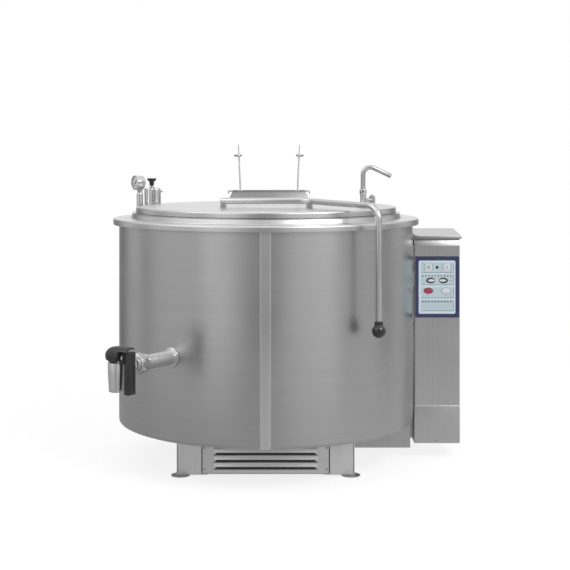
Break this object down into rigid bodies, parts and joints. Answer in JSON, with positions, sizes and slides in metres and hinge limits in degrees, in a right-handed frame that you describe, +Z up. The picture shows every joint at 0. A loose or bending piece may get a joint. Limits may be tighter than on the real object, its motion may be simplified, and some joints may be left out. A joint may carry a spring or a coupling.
{
  "type": "gas cooking kettle",
  "caption": "Round jacketed gas cooking kettle with hinged lid and long handle, front drain tap, water tap, pressure gauge, rear flue and side control column.",
  "frame": {"origin": "on the floor under the middle of the whole kettle's box", "axes": "+X to the control column, -Y to the cook, +Z up"},
  "size_m": [1.3058, 1.4034, 1.1739],
  "materials": {
    "brushed_shell": "fine brushed stainless sheet",
    "polished_rim": "bright ground stainless",
    "plain_steel": "mill finish stainless",
    "chromed_fittings": "polished",
    "black_plastic": "black moulded plastic",
    "chamber_sheet": "heat tinted steel sheet",
    "gas_parts": "plain cast and drawn",
    "water_line": "plain",
    "seal_rubber": "food grade silicone",
    "blanket": "mineral wool",
    "panel_film": "printed film",
    "board_green": "coated board",
    "gauge_white": "white dial",
    "pointer_black": "black",
    "key_white": "film key",
    "key_navy": "film key",
    "key_red": "film key"
  },
  "bodies": {
    "kettle": {"base_frame": "plain_steel", "levelling_feet": "plain_steel", "plinth_skirt": "brushed_shell", "louvre_panel": "brushed_shell", "panel_screws": "plain_steel", "body_cladding": "brushed_shell", "front_seam_strip": "brushed_shell", "bottom_plate": "plain_steel", "rim_ring": "polished_rim", "cooking_vessel": "plain_steel", "steam_jacket": "plain_steel", "insulation_blanket": "blanket", "combustion_chamber": "chamber_sheet", "burner_tubes": "chamber_sheet", "gas_manifold": "gas_parts", "gas_valve": "gas_parts", "flue_duct": "plain_steel", "flue_hood": "plain_steel", "tie_rods": "plain_steel", "hinge_brackets": "plain_steel", "hinge_spring_barrel": "plain_steel", "water_pipe": "water_line", "water_tap_body": "chromed_fittings", "gauge_case": "chromed_fittings", "gauge_column": "chromed_fittings", "gauge_dial": "gauge_white", "jacket_vent": "chromed_fittings", "safety_valve_body": "chromed_fittings", "drain_pipe": "chromed_fittings", "drain_cover_ring": "chromed_fittings", "union_nut": "chromed_fittings", "drain_tap_body": "chromed_fittings", "column_cabinet": "brushed_shell", "column_cap": "brushed_shell", "column_lower_cover": "brushed_shell", "control_panel": "panel_film", "control_board": "board_green", "service_duct": "brushed_shell", "cable_gland": "black_plastic"},
    "lid": {"lid_top": "polished_rim", "lid_liner": "plain_steel", "lid_gasket": "seal_rubber", "lid_hinge_shaft": "plain_steel", "lid_handle_bar": "polished_rim", "handle_ball": "black_plastic"},
    "drain_lever": {"drain_lever": "black_plastic"},
    "drain_piston": {"drain_tap_piston": "plain_steel"},
    "drain_strainer": {"drain_strainer": "plain_steel"},
    "water_spout": {"water_tap_spout": "chromed_fittings"},
    "water_lever": {"water_tap_lever": "chromed_fittings"},
    "gauge_pointer": {"gauge_pointer": "pointer_black"},
    "safety_knob": {"safety_valve_knob": "black_plastic"},
    "wing_nut_left": {"wing_nut_left": "chromed_fittings"},
    "wing_nut_right": {"wing_nut_right": "chromed_fittings"},
    "key_off": {"key_off": "key_white"},
    "key_on": {"key_on": "key_white"},
    "key_down": {"key_down": "key_navy"},
    "key_up": {"key_up": "key_navy"},
    "key_red": {"key_red": "key_red"},
    "key_white": {"key_white": "key_white"}
  },
  "joints": [
    {"name": "lid_hinge", "type": "hinge", "parent": "kettle", "child": "lid", "pos_m": [-0.081, 0.56273, 0.93], "axis": [-1, 0, 0], "range_deg": [0, 85]},
    {"name": "drain_lever_pivot", "type": "hinge", "parent": "kettle", "child": "drain_lever", "pos_m": [-0.56769, -0.64214, 0.482], "axis": [-0.809, 0.5878, 0], "range_deg": [0, 85]},
    {"name": "drain_piston_lift", "type": "slide", "parent": "kettle", "child": "drain_piston", "axis": [0, 0, 1], "range_m": [0, 0.01]},
    {"name": "strainer_pull", "type": "slide", "parent": "kettle", "child": "drain_strainer", "axis": [0.5878, 0.809, 0], "range_m": [0, 0.04]},
    {"name": "spout_swivel", "type": "hinge", "parent": "kettle", "child": "water_spout", "pos_m": [0.31025, 0.39992, 0.998], "axis": [0, 0, 1], "range_deg": [-150, 150]},
    {"name": "water_lever_turn", "type": "hinge", "parent": "kettle", "child": "water_lever", "pos_m": [0.32425, 0.39992, 0.95], "axis": [1, 0, 0], "range_deg": [0, 90]},
    {"name": "gauge_needle", "type": "hinge", "parent": "kettle", "child": "gauge_pointer", "pos_m": [-0.57504, 0.24573, 1.024], "axis": [0.809, 0.5878, 0], "range_deg": [0, 270]},
    {"name": "safety_knob_lift", "type": "slide", "parent": "kettle", "child": "safety_knob", "axis": [0, 0, 1], "range_m": [0, 0.005]},
    {"name": "wing_nut_left_turn", "type": "hinge", "parent": "kettle", "child": "wing_nut_left", "pos_m": [-0.192, 0.64772, 0.98], "axis": [-0.0419, 0, 0.9991], "continuous": true},
    {"name": "wing_nut_right_turn", "type": "hinge", "parent": "kettle", "child": "wing_nut_right", "pos_m": [0.05, 0.64772, 0.98], "axis": [0.0419, 0, 0.9991], "continuous": true},
    {"name": "key_off_press", "type": "slide", "parent": "kettle", "child": "key_off", "axis": [0, 1, 0], "range_m": [0, 0.0008], "stiffness_N_per_m": 1500},
    {"name": "key_on_press", "type": "slide", "parent": "kettle", "child": "key_on", "axis": [0, 1, 0], "range_m": [0, 0.0008], "stiffness_N_per_m": 1500},
    {"name": "key_down_press", "type": "slide", "parent": "kettle", "child": "key_down", "axis": [0, 1, 0], "range_m": [0, 0.0008], "stiffness_N_per_m": 1500},
    {"name": "key_up_press", "type": "slide", "parent": "kettle", "child": "key_up", "axis": [0, 1, 0], "range_m": [0, 0.0008], "stiffness_N_per_m": 1500},
    {"name": "key_red_press", "type": "slide", "parent": "kettle", "child": "key_red", "axis": [0, 1, 0], "range_m": [0, 0.0008], "stiffness_N_per_m": 1500},
    {"name": "key_white_press", "type": "slide", "parent": "kettle", "child": "key_white", "axis": [0, 1, 0], "range_m": [0, 0.0008], "stiffness_N_per_m": 1500}
  ],
  "couplings": [
    {"joint": "drain_piston_lift", "follows": "drain_lever_pivot", "m_per_rad": 0.00674}
  ]
}
